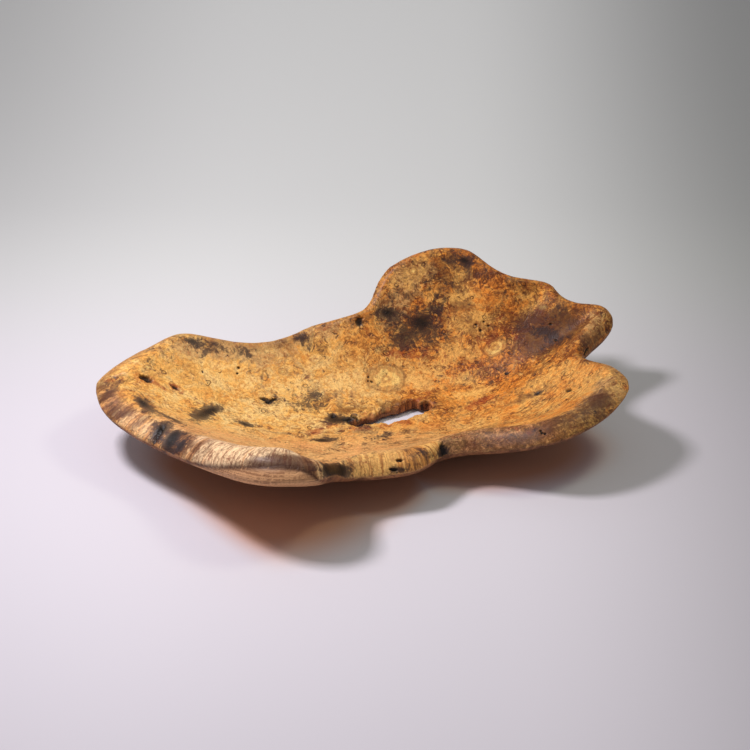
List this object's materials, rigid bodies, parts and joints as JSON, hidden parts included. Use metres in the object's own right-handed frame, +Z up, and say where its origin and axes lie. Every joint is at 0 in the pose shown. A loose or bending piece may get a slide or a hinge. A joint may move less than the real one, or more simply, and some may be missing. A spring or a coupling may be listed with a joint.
{
  "type": "carved burl bowl",
  "caption": "Shallow free-form bowl carved from one maple burl, with a natural rounded edge and a ragged hole worn through its floor.",
  "frame": {"origin": "middle of the bowl's box, on the flat foot that it stands on", "axes": "+X to the long tongue on the right, +Y to the tall back of the rim, +Z up"},
  "size_m": [0.4502, 0.3286, 0.1136],
  "materials": {
    "burl_bowl": "sanded and oiled to a satin sheen"
  },
  "bodies": {
    "root": {"burl_bowl": "burl_bowl"}
  },
  "joints": []
}
